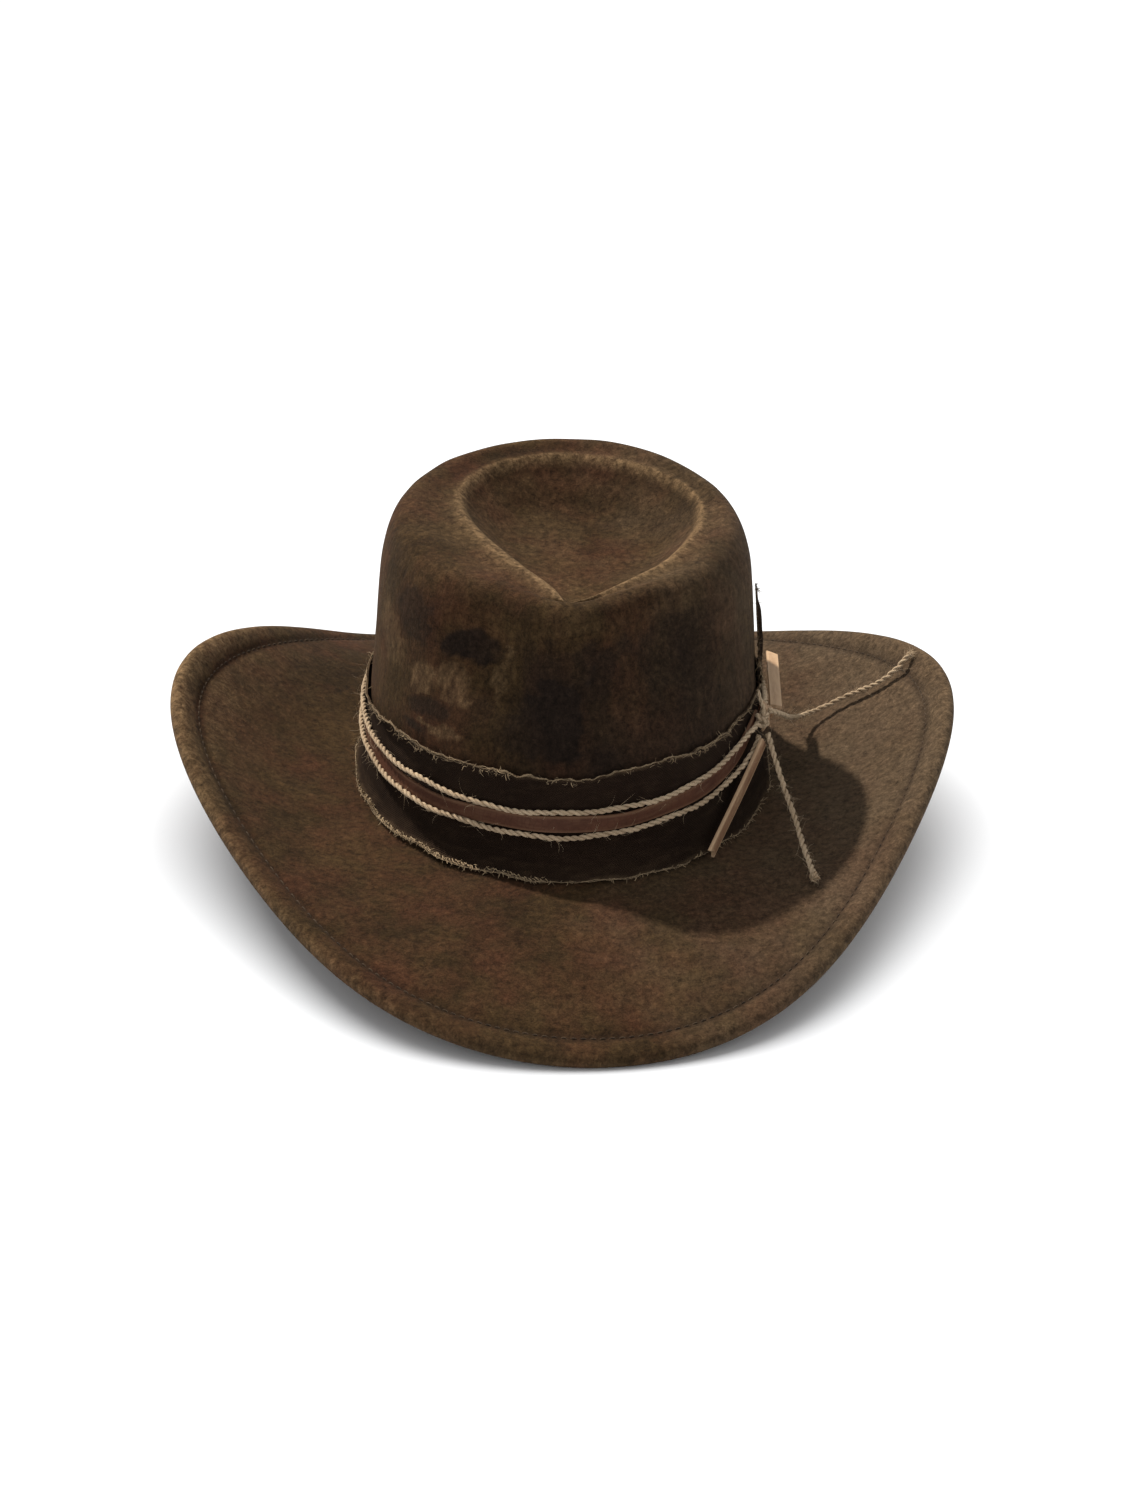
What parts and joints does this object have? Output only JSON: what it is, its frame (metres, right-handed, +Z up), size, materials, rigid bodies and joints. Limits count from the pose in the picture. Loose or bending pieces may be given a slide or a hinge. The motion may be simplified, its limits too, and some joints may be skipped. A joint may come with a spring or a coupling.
{
  "type": "cowboy hat",
  "caption": "Wide-brimmed felt cowboy hat, teardrop crown, rolled brim edge, frayed cloth band, leather thong and twine with loose ends.",
  "frame": {"origin": "bottom centre of the bounding box, on the table plane that the front and back of the brim rest on", "axes": "+Z up through the crown, -Y out of the front of the hat, +X to the wearer's left, where the band is tied"},
  "size_m": [0.334, 0.3908, 0.1451],
  "materials": {
    "felt": "brushed wool felt, dark olive brown with reddish and darker blotches",
    "wire": "drawn steel wire",
    "joiner": "rolled metal sleeve",
    "band_cloth": "coarse woven cloth with frayed edges",
    "thong_leather": "soft flat thong, reddish brown, lighter cut edges",
    "jute": "twisted jute twine, cream and tan",
    "sweatband_leather": "thin smooth leather",
    "reed_plastic": "flexible piping",
    "bow_ribbon": "narrow ribbed ribbon",
    "lining_cloth": "satin-weave lining"
  },
  "bodies": {
    "hat": {"felt_body": "felt", "brim_wire": "wire", "wire_joiner": "joiner", "fabric_band": "band_cloth", "fabric_flap": "band_cloth", "leather_strap": "thong_leather", "leather_knot": "thong_leather", "twine_upper": "jute", "twine_lower": "jute", "twine_knot": "jute", "sweatband": "sweatband_leather", "sweatband_reed": "reed_plastic", "sweatband_bow": "bow_ribbon", "lining_side": "lining_cloth", "lining_tip": "lining_cloth"},
    "leather_front": {"leather_tail_front": "thong_leather"},
    "leather_back": {"leather_tail_back": "thong_leather"},
    "twine_side": {"twine_tail_side": "jute"},
    "twine_front": {"twine_tail_front": "jute"}
  },
  "joints": [
    {"name": "leather_front_lift", "type": "hinge", "parent": "hat", "child": "leather_front", "pos_m": [0.07969, -0.04829, 0.0574], "axis": [-0.3755, -0.4109, 0.8308], "range_deg": [0, 22], "stiffness_Nm_per_rad": 0.002},
    {"name": "leather_back_lift", "type": "hinge", "parent": "hat", "child": "leather_back", "pos_m": [0.0878, -0.026, 0.0624], "axis": [0.9938, -0.1116, 0], "range_deg": [-12, 45], "stiffness_Nm_per_rad": 0.005},
    {"name": "twine_side_lift", "type": "hinge", "parent": "hat", "child": "twine_side", "pos_m": [0.0827, -0.0403, 0.0678], "axis": [0.6759, -0.737, 0], "range_deg": [0, 40]},
    {"name": "twine_front_lift", "type": "hinge", "parent": "hat", "child": "twine_front", "pos_m": [0.0818, -0.0458, 0.0598], "axis": [-0.9848, -0.1739, 0], "range_deg": [0, 45]}
  ]
}
